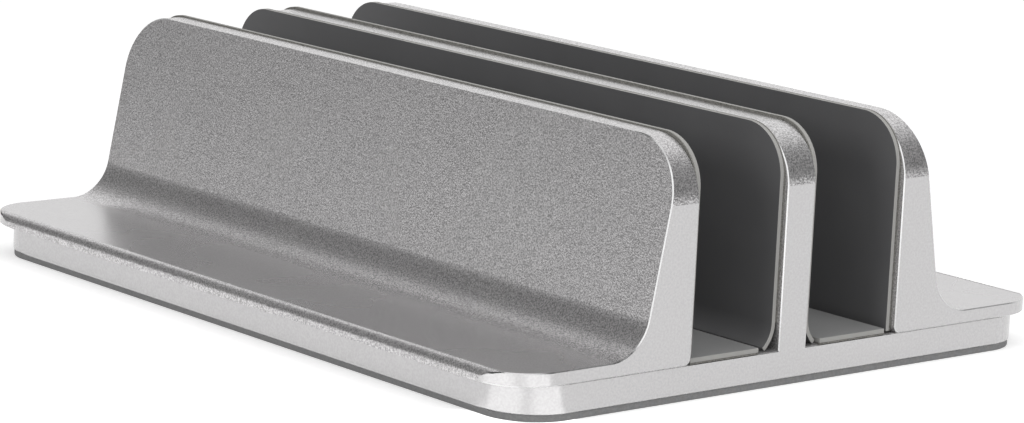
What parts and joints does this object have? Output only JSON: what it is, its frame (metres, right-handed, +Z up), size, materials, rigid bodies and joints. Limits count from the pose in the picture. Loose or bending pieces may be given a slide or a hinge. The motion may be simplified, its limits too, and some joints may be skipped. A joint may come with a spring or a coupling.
{
  "type": "vertical laptop stand",
  "caption": "Low metal stand with parallel upright walls that hold closed laptops on edge; the outer walls slide to set the slot widths.",
  "frame": {"origin": "on the underside of the bottom mat, under the base plate's centre line and midway along the side walls", "axes": "+X across the slots towards the wall on the picture's right, +Y along the slots away from the viewer, +Z up"},
  "size_m": [0.1588, 0.2, 0.0566],
  "materials": {
    "base_metal": "bead-blasted and anodised, machined ends",
    "wall_metal": "coarsely bead-blasted and anodised, bright machined edges",
    "mat_silicone": "matt",
    "pad_silicone": "smooth matt",
    "adhesive": "matt foam tape",
    "screw_steel": "blackened",
    "washer_steel": "plain"
  },
  "bodies": {
    "base": {"base_plate": "base_metal", "bottom_mat": "mat_silicone", "middle_pad_left": "pad_silicone", "middle_pad_right": "pad_silicone", "middle_adhesive_left": "adhesive", "middle_adhesive_right": "adhesive", "left_floor_pad": "pad_silicone", "right_floor_pad": "pad_silicone", "left_floor_adhesive": "adhesive", "right_floor_adhesive": "adhesive"},
    "left_side": {"left_wall": "wall_metal", "left_wall_pad": "pad_silicone", "left_wall_adhesive": "adhesive", "left_front_screw": "screw_steel", "left_rear_screw": "screw_steel", "left_front_washer": "washer_steel", "left_rear_washer": "washer_steel"},
    "right_side": {"right_wall": "wall_metal", "right_wall_pad": "pad_silicone", "right_wall_adhesive": "adhesive", "right_front_screw": "screw_steel", "right_rear_screw": "screw_steel", "right_front_washer": "washer_steel", "right_rear_washer": "washer_steel"}
  },
  "joints": [
    {"name": "left_wall_slide", "type": "slide", "parent": "base", "child": "left_side", "axis": [-1, 0, 0], "range_m": [0, 0.0138]},
    {"name": "right_wall_slide", "type": "slide", "parent": "base", "child": "right_side", "axis": [1, 0, 0], "range_m": [-0.0009, 0.0132]}
  ]
}
